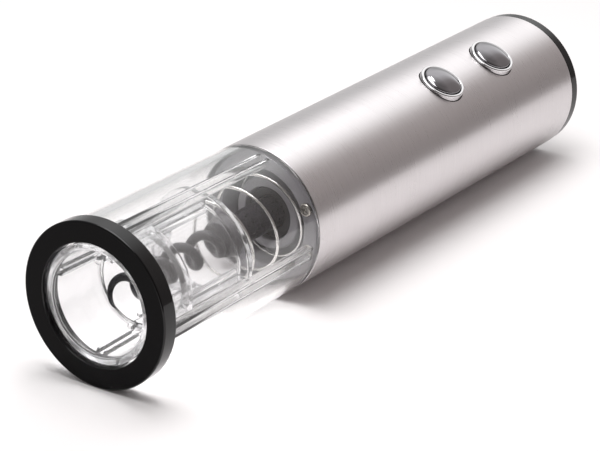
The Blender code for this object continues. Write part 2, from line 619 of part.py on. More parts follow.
def make_motor(opener):
    boss_hole = MOTOR_BOSS_RADIUS + FIT
    screws = [(MOTOR_SCREW_CIRCLE, 0.0), (-MOTOR_SCREW_CIRCLE, 0.0)]
    screw_head = MOTOR_SCREW_RADIUS / SCREW_HEAD_SHARE
    screw_top = MOTOR_PLATE - FIT - MOTOR_SCREW_RADIUS
    screw_length = GEARBOX_END_PLATE + MOTOR_SCREW_BITE
    outlines = [circle(GEARBOX_RADIUS, INNER), circle(boss_hole, FINE)]
    outlines += [circle(MOTOR_SCREW_RADIUS + FIT, SMALL, centre) for centre in screws]
    plate = extruded_mesh(outlines, MOTOR_PLATE, MOTOR_PLATE + GEARBOX_END_PLATE)
    piece("motor_plate", plate, GREY, opener)

    shaft_hole = SHAFT_RADIUS + 2 * RUNNING
    boss_end = MOTOR_START - MOTOR_BOSS_LENGTH
    profile = [(shaft_hole, boss_end), (MOTOR_BOSS_RADIUS, boss_end), (MOTOR_BOSS_RADIUS, MOTOR_START),
               (MOTOR_RADIUS, MOTOR_START), (MOTOR_RADIUS, MOTOR_END), (MOTOR_RADIUS - MOTOR_WALL, MOTOR_END),
               (MOTOR_RADIUS - MOTOR_WALL, MOTOR_START + MOTOR_WALL), (shaft_hole, MOTOR_START + MOTOR_WALL)]
    can = piece("motor_can", turned_mesh(profile, FINE), GEAR_STEEL, opener)
    for index, centre in enumerate(screws):
        place = (*centre, 0.0)
        screw = screw_mesh(MOTOR_SCREW_RADIUS, screw_head, screw_top, screw_length)
        piece(f"motor_screw_{index + 1}", screw, CELL_END, opener, place)
        hole = rod_profile(MOTOR_SCREW_RADIUS + FIT, MOTOR_START - MOTOR_WALL, MOTOR_START + 2 * MOTOR_WALL)
        cutter = piece(f"motor_screw_hole_{index + 1}", turned_mesh(hole, SMALL), CELL_END, opener, place)
        combine(can, cutter, "DIFFERENCE")

    bell_radius = MOTOR_RADIUS - FIT
    bell = [(shaft_hole, MOTOR_END + FIT), (bell_radius, MOTOR_END + FIT), (bell_radius, BELL_END - BELL_BEVEL),
            (bell_radius - BELL_BEVEL, BELL_END), (shaft_hole, BELL_END)]
    piece("motor_end_bell", turned_mesh(bell, FINE), BLACK, opener)

    shaft = turned_mesh(rod_profile(SHAFT_RADIUS, GEARS_ONE + FIT, BELL_END + SHAFT_TAIL), SMALL)
    rotor = piece("motor_shaft", shaft, GEAR_STEEL, opener)
    pinion = extruded_mesh([gear_outline(SUN_TEETH)], GEARS_ONE, GEARS_ONE + GEAR_WIDTH)
    combine(rotor, piece("motor_pinion", pinion, GEAR_STEEL, opener), "UNION")
    armature = tube_profile(SHAFT_RADIUS + FIT, ARMATURE_RADIUS,
                            MOTOR_START + ARMATURE_SETBACK, MOTOR_END - ARMATURE_SETBACK)
    piece("motor_armature", turned_mesh(armature, FINE), BRONZE, opener)


def make_chassis(opener, button_frames):
    """Two half shells, with ribs that hold the motor. The upper one is under the buttons."""
    rib = MOTOR_RADIUS + FIT
    bore, low, high = CHASSIS_BORE, GEARBOX_START, CHASSIS_END
    ribs = [MOTOR_START + RIB_SETBACK[0], MOTOR_END - RIB_SETBACK[1]]
    profile = [(INSERT_RADIUS, low), (INSERT_RADIUS, high), (bore, high)]
    for place in reversed(ribs):
        profile += [(bore, place + RIB_WALL), (rib, place + RIB_WALL), (rib, place), (bore, place)]
    profile.append((bore, low))
    half = math.pi / 2 - FIT / INSERT_RADIUS
    for name, middle in (("chassis_upper", BUTTON_ANGLE), ("chassis_lower", BUTTON_ANGLE + 180.0)):
        shell = turned_mesh(profile, INNER, start=around(middle) - half, sweep=2 * half)
        chassis = piece(name, shell, GREY, opener)
        if name == "chassis_upper":
            hole = turned_mesh(rod_profile(BEZEL_RADIUS + 3 * FIT, BOARD_TOP, CUTTER_REACH), FINE)
            combine(chassis, piece("chassis_hole", hole, GREY, button_frames[1]), "DIFFERENCE")


def cell_centres():
    corner = CELL_PITCH
    return [(corner, corner), (-corner, corner), (-corner, -corner), (corner, -corner)]


def make_battery_bay(opener):
    """The bay's own frame is turned so that one flat side faces the buttons along its +X."""
    bay = empty("battery_frame", opener, rotation=(0, 0, around(BUTTON_ANGLE)))
    plate_end = TRAY_START + TRAY_PLATE
    corner = CELL_RADIUS + CELL_PLAY
    outlines = [rounded_square(TRAY_SIDE, corner + TRAY_WALL), rounded_square(TRAY_BORE, corner)]
    walls = extruded_mesh(outlines, plate_end - TRAY_PLATE / 4, TRAY_TUBE_END)
    tray = piece("battery_tray", walls, GREY, bay)
    wire_hole = WIRE_RADIUS + 2 * FIT
    centres = [(TRAY_BORE - LEAD_HOLE_INSET, side * BATTERY_LEAD_SIDE) for side in (1, -1)]
    holes = [circle(wire_hole, SMALL, centre) for centre in centres]
    disc = extruded_mesh([circle(INSERT_RADIUS, INNER)] + holes, TRAY_START, plate_end)
    combine(tray, piece("tray_front_wall", disc, GREY, bay), "UNION")
    flange = [circle(INSERT_RADIUS, INNER), rounded_square(TRAY_SIDE - TRAY_WALL / 2, corner + TRAY_WALL / 2)]
    rear = extruded_mesh(flange, TRAY_TUBE_END - TRAY_PLATE, TRAY_TUBE_END)
    combine(tray, piece("tray_rear_flange", rear, GREY, bay), "UNION")
    half = BOARD_WIDTH / 2 + FIT
    slot = box_mesh((BOARD_BASE - FIT / 2, -half, TRAY_START - TRAY_PLATE),
                    (SLEEVE_RADIUS, half, plate_end + TRAY_PLATE))
    combine(tray, piece("board_slot", slot, GREY, bay), "DIFFERENCE")

    body = CELL_LENGTH - CELL_NUB
    for index, centre in enumerate(cell_centres()):
        profile = [(0.0, 0.0), (CELL_RADIUS - CELL_BEVEL, 0.0), (CELL_RADIUS, CELL_BEVEL),
                   (CELL_RADIUS, body), (CELL_NUB_RADIUS, body), (CELL_NUB_RADIUS, CELL_LENGTH),
                   (0.0, CELL_LENGTH)]
        to_mouth = index % 2 == 1
        cell = turned_mesh([(r, CELLS_END - z if to_mouth else CELLS_START + z) for r, z in profile], FINE)
        piece(f"cell_{index + 1}", cell, CELL_WRAP, bay, (*centre, 0.0))
        room = (plate_end + FIT, CELLS_START - FIT)
        if to_mouth:
            plate = extruded_mesh([circle(CONTACT_RADIUS, FINE)], room[1] - CONTACT_THICKNESS, room[1])
            piece(f"contact_plate_{index // 2 + 1}", plate, CELL_END, bay, (*centre, 0.0))
        else:
            low, high = room[0] + CONTACT_SPRING_WIRE, room[1] - CONTACT_SPRING_WIRE
            points = helix(1.0, low, high, (high - low) / CONTACT_SPRING_TURNS, 0.0, 10)
            narrowing = (CONTACT_SPRING_FRONT - CONTACT_SPRING_REAR) / (high - low)
            cone = [CONTACT_SPRING_FRONT - narrowing * (p.z - low) for p in points]
            points = [Vector((p.x * r, p.y * r, p.z)) for p, r in zip(points, cone)]
            spring = swept_mesh(points, [CONTACT_SPRING_WIRE] * len(points), 4)
            piece(f"contact_spring_{index // 2 + 1}", spring, SPRING_STEEL, bay, (*centre, 0.0))
    return bay


def make_rear_end(opener, bay):
    collar = tube_profile(COLLAR_BORE, INSERT_RADIUS, COLLAR_START, COLLAR_END)
    piece("cap_collar", turned_mesh(collar, INNER), GREY, opener)
    rim = SLEEVE_RADIUS - CAP_INSET
    floor = CAP_START + CAP_FLOOR
    skirt = CAP_START - CAP_SKIRT
    profile = [(0.0, floor), (SKIRT_BORE, floor), (SKIRT_BORE, skirt), (SKIRT_RADIUS, skirt),
               (SKIRT_RADIUS, CAP_START), (rim, CAP_START), (rim, LENGTH - CAP_BEVEL),
               (rim - CAP_BEVEL, LENGTH), (0.0, LENGTH)]
    piece("end_cap", turned_mesh(profile), BLACK, opener)
    board = extruded_mesh([circle(SKIRT_BORE - FIT, INNER)], CAP_BOARD_END - CAP_BOARD, CAP_BOARD_END)
    piece("cap_board", board, GREEN, opener)
    half = CELL_PITCH + CONTACT_MARGIN
    for index, side in enumerate((-1, 1)):
        middle = side * CELL_PITCH
        low = (-half, middle - CONTACT_MARGIN, CAP_PLATE_END - CAP_PLATE)
        high = (half, middle + CONTACT_MARGIN, CAP_PLATE_END)
        piece(f"cap_contact_{index + 1}", box_mesh(low, high), CELL_END, bay)


def make_button_frames(opener):
    """One empty for each button: its Z axis is the way the button moves, out from the opener's axis."""
    frames = []
    for index, place in enumerate(BUTTON_PLACES):
        swing = empty(f"button_turn_{index}", opener, (0, 0, place), (0, 0, around(BUTTON_ANGLE)))
        frames.append(empty(f"button_frame_{index}", swing, rotation=(0, math.pi / 2, 0)))
    return frames


def dome(radius, low, high, steps=4):
    """(radius, z) points over a shallow dome, from its rim to its top on the axis."""
    return [(radius * math.cos(math.pi / 2 * s / steps) if s < steps else 0.0,
             low + (high - low) * math.sin(math.pi / 2 * s / steps)) for s in range(steps + 1)]


def make_buttons(opener, bay, button_frames):
    for name, frame in zip(("rear", "front"), button_frames):
        base = PLUNGER_TOP + FIT
        skirt = SLEEVE_RADIUS - BUTTON_SKIRT
        profile = [(0.0, base), (BUTTON_STEM, base), (BUTTON_STEM, skirt), (BUTTON_RADIUS, skirt)]
        profile += dome(BUTTON_RADIUS, SLEEVE_RADIUS + BUTTON_EDGE, SLEEVE_RADIUS + BUTTON_STAND)
        piece(f"{name}_button", turned_mesh(profile, FINE), CHROME, frame)
        inner = BEZEL_RADIUS - BEZEL_WALL
        low, high = SLEEVE_RADIUS - BEZEL_DEPTH, SLEEVE_RADIUS + BEZEL_STAND
        bezel = [(inner, low), (BEZEL_RADIUS, low), (BEZEL_RADIUS, high - BEZEL_BEVEL),
                 (BEZEL_RADIUS - BEZEL_BEVEL, high), (inner, high)]
        piece(f"{name}_bezel", turned_mesh(bezel, FINE), CHROME, frame)
        half = SWITCH_SIZE / 2
        seat = BOARD_TOP + FIT
        square = [(-half, -half), (half, -half), (half, half), (-half, half)]
        well = circle(PLUNGER_RADIUS + FIT, 12)
        piece(f"{name}_switch", extruded_mesh([square, well], seat, seat + SWITCH_HEIGHT), BLACK, frame)
        plunger = turned_mesh(rod_profile(PLUNGER_RADIUS, seat + FIT + BUTTON_TRAVEL, PLUNGER_TOP), 12)
        piece(f"{name}_switch_plunger", plunger, GREY, frame)
    half = BOARD_WIDTH / 2
    board = box_mesh((BOARD_BASE, -half, BOARD_START), (BOARD_TOP, half, BOARD_END))
    piece("control_board", board, GREEN, bay)


def smooth_route(stops, steps=3):
    """Points along a smooth curve through the stops. It leaves each stop no faster than three times the
    shorter stretch beside it, so a long stretch next to a short one doesn't swing past the stop."""
    ways = []
    for index, here in enumerate(stops):
        before, after = stops[max(index - 1, 0)], stops[min(index + 1, len(stops) - 1)]
        stretches = [length for length in ((here - before).length, (after - here).length) if length > 0]
        way = (after - before) / 2
        ways.append(way * min(1.0, 3 * min(stretches) / way.length))
    route = []
    for index in range(len(stops) - 1):
        b, c = stops[index], stops[index + 1]
        leave, arrive = ways[index], ways[index + 1]
        for step in range(steps):
            t = step / steps
            route.append(b + leave * t + (3 * (c - b) - 2 * leave - arrive) * t * t
                         + (2 * (b - c) + leave + arrive) * t * t * t)
    return route + [stops[-1]]


def make_wires(bay):
    """Four leads in the space between the motor and the battery tray, drawn in the bay's frame."""
    bell = BELL_END + FIT + WIRE_RADIUS
    wall = TRAY_START + TRAY_PLATE + FIT
    middle = TRAY_START - LEAD_SETBACK
    board = BOARD_BASE - FIT - WIRE_RADIUS
    terminal = MOTOR_RADIUS * 0.3
    hole = TRAY_BORE - LEAD_HOLE_INSET
    for side, finish, colour in ((1, RED_WIRE, "red"), (-1, BLACK_WIRE, "black")):
        out, near = side * MOTOR_LEAD_SIDE, side * BATTERY_LEAD_SIDE
        motor_lead = [(terminal, out, bell), (terminal, out, bell + 2 * WIRE_RADIUS),
                      (board / 2, out, middle), (board - 2 * WIRE_RADIUS, out, middle),
                      (board, out, middle - WIRE_RADIUS)]
        battery_lead = [(hole, near, wall), (hole, near, TRAY_START - WIRE_RADIUS),
                        (hole + WIRE_RADIUS, near, TRAY_START - 4 * WIRE_RADIUS), (board, near, middle)]
        for name, stops in (("motor_lead", motor_lead), ("battery_lead", battery_lead)):
            route = smooth_route([Vector(stop) for stop in stops])
            piece(f"{name}_{colour}", swept_mesh(route, [WIRE_RADIUS] * len(route), 5), finish, bay)


def build():
    for old in list(bpy.data.objects):
        bpy.data.objects.remove(old, do_unlink=True)
    opener = empty("opener", location=(-LENGTH / 2, 0, AXIS_HEIGHT), rotation=(0, math.pi / 2, 0))
    button_frames = make_button_frames(opener)
    make_sleeve(opener, button_frames)
    make_mouth_ring(opener)
    make_clear_tube(opener)
    make_guide_cup(opener)
    make_spring(opener)
    make_worm(opener)
    bulkhead = make_bulkhead(opener)
    ring_gear = make_gearbox(opener)
    make_cover_screws(opener, bulkhead, ring_gear)
    make_motor(opener)
    make_chassis(opener, button_frames)
    bay = make_battery_bay(opener)
    make_buttons(opener, bay, button_frames)
    make_rear_end(opener, bay)
    make_wires(bay)
    bpy.context.view_layer.update()


build()
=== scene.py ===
# Electric wine opener: the looks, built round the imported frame.
# X runs from the open mouth (-X) to the battery cap (+X), Z is up, metres throughout.
import json
import math

import bmesh
import bpy
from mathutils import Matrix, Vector


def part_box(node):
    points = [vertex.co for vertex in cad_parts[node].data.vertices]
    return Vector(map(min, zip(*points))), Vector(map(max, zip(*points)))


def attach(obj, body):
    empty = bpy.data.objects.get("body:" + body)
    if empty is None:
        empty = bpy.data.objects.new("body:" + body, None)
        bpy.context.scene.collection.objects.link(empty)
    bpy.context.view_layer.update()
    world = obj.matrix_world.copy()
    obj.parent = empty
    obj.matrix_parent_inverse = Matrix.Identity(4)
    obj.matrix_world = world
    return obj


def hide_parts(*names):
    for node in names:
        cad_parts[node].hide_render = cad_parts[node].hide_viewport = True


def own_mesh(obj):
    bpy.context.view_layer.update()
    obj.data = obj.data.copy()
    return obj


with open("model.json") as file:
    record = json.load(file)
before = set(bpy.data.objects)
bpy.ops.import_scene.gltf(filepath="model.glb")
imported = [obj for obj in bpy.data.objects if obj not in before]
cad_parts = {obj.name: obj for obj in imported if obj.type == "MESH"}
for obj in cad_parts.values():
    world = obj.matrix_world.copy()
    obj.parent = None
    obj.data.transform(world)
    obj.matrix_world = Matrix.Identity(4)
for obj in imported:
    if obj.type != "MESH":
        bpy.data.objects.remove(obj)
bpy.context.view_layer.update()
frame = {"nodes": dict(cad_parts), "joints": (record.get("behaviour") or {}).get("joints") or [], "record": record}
mm = 0.001

# The frame gives every place: the opener's axis, and where each round piece starts and ends on it.
ringLow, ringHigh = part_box("mouth_ring")
mouthX = ringLow.x
axisZ = (ringLow.z + ringHigh.z) / 2


def spanOf(node):
    # start and end along the axis from the mouth, and the largest radius
    low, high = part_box(node)
    radius = max(math.hypot(v.co.y, v.co.z - axisZ) for v in frame["nodes"][node].data.vertices)
    return low.x - mouthX, high.x - mouthX, radius


print("frame loaded")


# materials
cadCrease = 35      # degrees between faces at which a CAD piece that stays as it is shows an edge


def linearColour(text):
    parts = [int(text[i:i + 2], 16) / 255 for i in (1, 3, 5)]
    return [p / 12.92 if p <= 0.04045 else ((p + 0.055) / 1.055) ** 2.4 for p in parts] + [1.0]


def addNode(tree, kind, values=None, links=None, **settings):
    node = tree.nodes.new("ShaderNode" + kind)
    for name, value in settings.items():
        setattr(node, name, value)
    for name, value in (values or {}).items():
        node.inputs[name].default_value = value
    for name, (source, output) in (links or {}).items():
        tree.links.new(source.outputs[output], node.inputs[name])
    return node


def addRamp(tree, source, output, stops):
    ramp = addNode(tree, "ValToRGB", links={"Fac": (source, output)})
    points = ramp.color_ramp.elements
    while len(points) < len(stops):
        points.new(0.5)
    for point, (position, colour) in zip(points, stops):
        point.position = position
        point.color = linearColour(colour) if isinstance(colour, str) else (colour, colour, colour, 1.0)
    return ramp


def startMaterial(name, colour, roughness, metallic=0.0, **extra):
    made = bpy.data.materials.new(name)
    made.use_nodes = True
    tree = made.node_tree
    shader = tree.nodes["Principled BSDF"]
    shader.inputs["Base Color"].default_value = linearColour(colour)
    shader.inputs["Roughness"].default_value = roughness
    shader.inputs["Metallic"].default_value = metallic
    for label, value in extra.items():
        shader.inputs[label.replace("_", " ")].default_value = value
    return made, tree, shader


def addGrain(tree, shader, size, bump, stretch=(1, 1, 1), depth=0.02 * mm, rough=None, tint=None,
             detail=3.0):
    # one noise pattern in real millimetres drives the bump, the roughness and the colour
    coords = addNode(tree, "TexCoord")
    scaled = addNode(tree, "Mapping", {"Scale": stretch}, {"Vector": (coords, "Object")})
    noise = addNode(tree, "TexNoise", {"Scale": 1 / (size * mm), "Detail": detail, "Roughness": 0.55},
                    {"Vector": (scaled, "Vector")})
    relief = addNode(tree, "Bump", {"Strength": bump, "Distance": depth}, {"Height": (noise, "Fac")})
    tree.links.new(relief.outputs["Normal"], shader.inputs["Normal"])
    if rough:
        ramp = addRamp(tree, noise, "Fac", [(0.3, rough[0]), (0.7, rough[1])])
        tree.links.new(ramp.outputs["Color"], shader.inputs["Roughness"])
    if tint:
        ramp = addRamp(tree, noise, "Fac", [(0.3, tint[0]), (0.7, tint[1])])
        tree.links.new(ramp.outputs["Color"], shader.inputs["Base Color"])


def brushedStainless():
    # stainless steel tube, belt-brushed round its girth: soft bands along it, crisp edges across it
    made, tree, shader = startMaterial("brushed stainless steel", "#d5d1d2", 0.30, 1.0,
                                       Anisotropic=0.72, Anisotropic_Rotation=0.25)
    coords = addNode(tree, "TexCoord")
    # grit lines are about 0.05 mm apart, too fine to show, so they are drawn at 0.35 mm
    grit, patch = 0.35 * mm, 14 * mm
    scaled = addNode(tree, "Mapping", {"Scale": (1.0, 0.03, 0.03)}, {"Vector": (coords, "Object")})
    lines = addNode(tree, "TexNoise", {"Scale": 1 / grit, "Detail": 4.0, "Roughness": 0.6},
                    {"Vector": (scaled, "Vector")})
    cloud = addNode(tree, "TexNoise", {"Scale": 1 / patch, "Detail": 2.0}, {"Vector": (coords, "Object")})
    both = addNode(tree, "Mix", {"Factor": 0.25}, {"A": (lines, "Fac"), "B": (cloud, "Fac")})
    rough = addRamp(tree, both, "Result", [(0.3, 0.26), (0.7, 0.33)])
    tint = addRamp(tree, both, "Result", [(0.3, "#cfcbcc"), (0.7, "#dad6d7")])
    relief = addNode(tree, "Bump", {"Strength": 0.07, "Distance": 0.02 * mm}, {"Height": (lines, "Fac")})
    girth = addNode(tree, "Tangent", direction_type="RADIAL", axis="X")
    tree.links.new(rough.outputs["Color"], shader.inputs["Roughness"])
    tree.links.new(tint.outputs["Color"], shader.inputs["Base Color"])
    tree.links.new(relief.outputs["Normal"], shader.inputs["Normal"])
    tree.links.new(girth.outputs["Tangent"], shader.inputs["Tangent"])
    return made


def glossAbs(name, shine):
    # ABS, moulded in a polished tool: near black, mirror-like, with a faint flow waviness
    made, tree, shader = startMaterial(name, "#080708", 0.09, IOR=1.54, Specular_IOR_Level=shine)
    addGrain(tree, shader, 6.0, bump=0.04, depth=0.05 * mm, rough=(0.06, 0.12), detail=2.0)
    return made


def clearAcrylic(name, colour, roughness=0.0, clear=1.0):
    # acrylic, moulded: colourless and bright, or a little hazy where it is rough and not wholly clear
    made, tree, shader = startMaterial(name, colour, roughness, Transmission_Weight=clear, IOR=1.49)
    addGrain(tree, shader, 9.0, bump=0.05, depth=0.05 * mm, detail=1.0)
    return made


def chromePlate(name, colour):
    # chrome on moulded ABS: a clean mirror that bends a little with the plastic under it
    made, tree, shader = startMaterial(name, colour, 0.05, 1.0)
    addGrain(tree, shader, 3.0, bump=0.03, depth=0.03 * mm, rough=(0.03, 0.07), detail=1.0)
    return made


def drawnWire():
    # stainless spring wire, die-drawn: bright, with a slightly uneven shine
    made, tree, shader = startMaterial("drawn spring wire", "#e4e2df", 0.14, 1.0)
    addGrain(tree, shader, 0.4, bump=0.05, rough=(0.10, 0.20))
    return made


def nonStickCoat():
    # fluoropolymer non-stick coat, sprayed and baked on steel: dark grey, satin, slightly orange-peeled
    made, tree, shader = startMaterial("non-stick coat", "#232124", 0.30, IOR=1.42)
    addGrain(tree, shader, 0.7, bump=0.12, depth=0.03 * mm, rough=(0.24, 0.38), tint=("#1d1b1e", "#2a282b"))
    return made


def mouldedNylon(name, dark, light, roughness=(0.42, 0.56)):
    # glass-filled nylon or ABS, moulded in a spark-eroded tool: even fine grain, soft shine
    made, tree, shader = startMaterial(name, dark, roughness[0], IOR=1.53)
    addGrain(tree, shader, 0.35, bump=0.16, depth=0.03 * mm, rough=roughness, tint=(dark, light))
    return made


def machinedMetal(name, dark, light, roughness=(0.25, 0.42), grain=0.5):
    # turned, sintered or plated metal: short tool marks and a slightly uneven shine
    made, tree, shader = startMaterial(name, dark, roughness[0], 1.0)
    addGrain(tree, shader, grain, bump=0.10, stretch=(1.0, 0.2, 0.2), rough=roughness, tint=(dark, light))
    return made


def nitrileRubber(name, dark, light):
    # soft rubber or PVC: matt, with a fine bloom
    made, tree, shader = startMaterial(name, dark, 0.6, IOR=1.52)
    addGrain(tree, shader, 0.5, bump=0.15, depth=0.03 * mm, rough=(0.5, 0.75), tint=(dark, light))
    return made


def epoxyBoard():
    # glass-epoxy laminate with green solder resist: glossy, and a little uneven in colour
    made, tree, shader = startMaterial("green solder resist", "#14502f", 0.3, IOR=1.5, Coat_Weight=0.4)
    addGrain(tree, shader, 0.5, bump=0.1, tint=("#0f4526", "#185c36"))
    return made


finishes = {
    "steel": brushedStainless(),
    "black_gloss": glossAbs("gloss black ABS", 0.35),
    "clear": clearAcrylic("clear acrylic", "#fbfbfb"),
    # the chrome slot is set far darker than plated chrome, as painted shade for the dark room that the button
    # domes mirror
    "chrome": chromePlate("chrome plate darkened as painted shade", "#8f8d90"),
    "spring_wire": drawnWire(),
    "worm_coat": nonStickCoat(),
    "hub_plastic": mouldedNylon("dark nylon", "#3d3a3c", "#4b484a"),
    "silver_plastic": mouldedNylon("silver-grey ABS", "#8c898e", "#959297", (0.28, 0.36)),
    "grey_plastic": mouldedNylon("grey nylon", "#6a696b", "#767577"),
    "gear_steel": machinedMetal("sintered steel", "#8d8984", "#a39e98"),
    "bronze": machinedMetal("bronze and copper", "#a8713c", "#c48a4e", (0.3, 0.45)),
    "board": epoxyBoard(),
    "cell": machinedMetal("printed cell wrap", "#26374f", "#2f4260", (0.25, 0.35)),
    "plated": machinedMetal("nickel plate", "#bdb8b0", "#cdc8c0", (0.18, 0.32)),
    "seal_rubber": nitrileRubber("nitrile rubber", "#1c1b1c", "#262526"),
    "red_insulation": nitrileRubber("red PVC", "#8f1514", "#a51d1a"),
    "black_insulation": nitrileRubber("black PVC", "#1a1a1a", "#242424"),
}

# beside these: a duller black on the ring's face, a lit copy of the chrome on the bezels that is painted
# brighter than the caps' shaded chrome, and a cup that was tumbled, which leaves it slightly hazy
blackFace = glossAbs("soft black ABS", 0.06)
litChromeCopy = chromePlate("bright chrome plate", "#dcdbdc")
cupAcrylic = clearAcrylic("tumbled clear acrylic", "#f9f9fa", 0.07, 0.975)

slotOf = {part["node"]: part["material_slot"] for part in frame["record"]["subparts"]}
for nodeName, nodeObject in frame["nodes"].items():
    nodeObject.data.materials.clear()
    nodeObject.data.materials.append(finishes[slotOf[nodeName]])
    nodeObject.data.shade_smooth()
    nodeObject.data.set_sharp_from_angle(angle=math.radians(cadCrease))
print("materials made")


# shape helpers
sharpAngle = {"made": 32, "wire": 60}      # degrees between faces at which an edge shows


def at(place, radius, angle):
    # a point at a distance from the mouth, a radius, and an angle from +Y towards +Z
    return Vector((mouthX + place, radius * math.cos(angle), axisZ + radius * math.sin(angle)))


def filleted(corners, steps=5, reach=0.42, hold=0.12):
    # (place, radius, fillet) corners become an outline with true arcs; an arc starts at most reach of a side
    # from its corner, and the outline is held flat for a short stretch, hold, beside it
    outline = []
    for index, (place, radius, fillet) in enumerate(corners):
        here = Vector((place, radius))
        before = Vector(corners[index - 1][:2]) - here
        after = Vector(corners[(index + 1) % len(corners)][:2]) - here
        if fillet <= 0:
            outline.append(here)
            continue
        half = before.angle(after) / 2
        trim = min(fillet / math.tan(half), reach * before.length, reach * after.length)
        arc = trim * math.tan(half)
        before.normalize()
        after.normalize()
        centre = here + (before + after).normalized() * arc / math.sin(half)
        first, last = here + before * trim, here + after * trim
        outline.append(first + before * trim * hold)
        for step in range(steps + 1):
            spoke = (first - centre).lerp(last - centre, step / steps)
            outline.append(centre + spoke.normalized() * arc)
        outline.append(last + after * trim * hold)
    return outline


def meshObject(name, bm, sharp=sharpAngle["made"]):
    bmesh.ops.remove_doubles(bm, verts=bm.verts, dist=1e-7)
    bmesh.ops.recalc_face_normals(bm, faces=bm.faces)
    mesh = bpy.data.meshes.new(name)
    bm.to_mesh(mesh)
    bm.free()
    mesh.shade_smooth()
    mesh.set_sharp_from_angle(angle=math.radians(sharp))
    made = bpy.data.objects.new(name, mesh)
    bpy.context.scene.collection.objects.link(made)
    return made


def lathe(name, outline, sides=144, closed=True):
    # turns a (place, radius) outline round the opener's axis; an open outline starts and ends on the axis
    bm = bmesh.new()
    rings = []
    for side in range(sides):
        angle = 2 * math.pi * side / sides
        rings.append([bm.verts.new(at(p[0], p[1], angle)) for p in outline])
    spans = len(outline) if closed else len(outline) - 1
    for side in range(sides):
        here, there = rings[side], rings[(side + 1) % sides]
        for index in range(spans):
            after = (index + 1) % len(outline)
            if outline[index][1] + outline[after][1] > 0:
                bm.faces.new((here[index], here[after], there[after], there[index]))
    return meshObject(name, bm)


def spin(name, outline, origin, axis, sides, closed=False):
    # turns (height, radius) points round any axis through origin
    axis = Vector(axis).normalized()
    across = axis.orthogonal().normalized()
    other = axis.cross(across)
    bm = bmesh.new()
    rings = []
    for side in range(sides):
        angle = 2 * math.pi * side / sides
        spoke = across * math.cos(angle) + other * math.sin(angle)
        rings.append([bm.verts.new(origin + axis * p[0] + spoke * p[1]) for p in outline])
    spans = len(outline) if closed else len(outline) - 1
    for side in range(sides):
        here, there = rings[side], rings[(side + 1) % sides]
        for index in range(spans):
            after = (index + 1) % len(outline)
            bm.faces.new((here[index], here[after], there[after], there[index]))
    return meshObject(name, bm)


def bar(name, placeRange, radiusRange, angle, width, bevel=0.12 * mm):
    # a straight rib along the opener, standing on the radius at an angle
    spoke = Vector((0, math.cos(angle), math.sin(angle)))
    side = Vector((0, -math.sin(angle), math.cos(angle))) * width / 2
    bm = bmesh.new()
    corners = []
    for place in placeRange:
        for radius in radiusRange:
            middle = Vector((mouthX + place, 0, axisZ)) + spoke * radius
            corners += [bm.verts.new(middle - side), bm.verts.new(middle + side)]
    for face in ((0, 1, 3, 2), (4, 6, 7, 5), (0, 4, 5, 1), (2, 3, 7, 6), (0, 2, 6, 4), (1, 5, 7, 3)):
        bm.faces.new([corners[i] for i in face])
    bmesh.ops.bevel(bm, geom=bm.edges[:], offset=bevel, segments=3, profile=0.5, affect="EDGES")
    return meshObject(name, bm)


def sweep(name, points, radii, sides):
    # a round bar along points, with a radius at each, and a dome of three steps on each end
    first, last = (points[0] - points[1]).normalized(), (points[-1] - points[-2]).normalized()
    dome = [(math.cos(math.radians(a)), math.sin(math.radians(a))) for a in (75, 50, 25)]
    points = ([points[0] + first * radii[0] * s for c, s in dome] + points
              + [points[-1] + last * radii[-1] * s for c, s in reversed(dome)])
    radii = [radii[0] * c for c, s in dome] + radii + [radii[-1] * c for c, s in reversed(dome)]
    bm = bmesh.new()
    rings = []
    side = None
    for index, point in enumerate(points):
        along = (points[min(index + 1, len(points) - 1)] - points[max(index - 1, 0)]).normalized()
        side = along.orthogonal() if side is None else side
        side = (side - along * side.dot(along)).normalized()
        other = along.cross(side)
        turns = [2 * math.pi * step / sides for step in range(sides)]
        rings.append([bm.verts.new(point + (side * math.cos(t) + other * math.sin(t)) * radii[index])
                      for t in turns])
    for here, there in zip(rings, rings[1:]):
        for step in range(sides):
            after = (step + 1) % sides
            bm.faces.new((here[step], here[after], there[after], there[step]))
    bm.faces.new(rings[0])
    bm.faces.new(rings[-1])
    return meshObject(name, bm, sharpAngle["wire"])


def carve(target, other, operation="DIFFERENCE"):
    # one boolean, applied at once, so that only the finished mesh is left
    step = target.modifiers.new(operation.lower(), "BOOLEAN")
    step.operation = operation
    step.object = other
    step.solver = "EXACT"
    bpy.context.view_layer.update()
    result = target.evaluated_get(bpy.context.evaluated_depsgraph_get())
    mesh = bpy.data.meshes.new_from_object(result)
    target.modifiers.clear()
    target.data = mesh
    mesh.shade_smooth()
    mesh.set_sharp_from_angle(angle=math.radians(sharpAngle["made"]))
    bpy.data.objects.remove(other, do_unlink=True)
    return target


def place(piece, node, body="root", finish=None):
    # the finished piece stands for its CAD node, rides on its body and takes its finish
    slot = slotOf[node]
    piece.data.materials.clear()
    piece.data.materials.append(finish or finishes[slot])
    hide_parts(node)
    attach(piece, body)
    return piece


# mouth ring
ringStart, ringEnd = spanOf("mouth_ring")[:2]
ringRadius = (ringHigh.z - ringLow.z) / 2
mouthRing = {"hole": 19.85 * mm, "edge": 0.55 * mm, "lip": 0.25 * mm, "faceLean": 0.95}


def buildMouthRing():
    hole, edge, lip = mouthRing["hole"], mouthRing["edge"], mouthRing["lip"]
    outline = filleted([(ringStart, hole, lip), (ringStart, ringRadius, edge), (ringEnd, ringRadius, edge),
                        (ringEnd, hole, lip)])
    ring = place(lathe("ring_moulding", outline, sides=192), "mouth_ring")
    # the face is duller than the rim, which mirrors the lamps
    ring.data.materials.append(blackFace)
    for polygon in ring.data.polygons:
        if polygon.normal.x < -mouthRing["faceLean"]:
            polygon.material_index = 1


buildMouthRing()
print("mouth ring built")

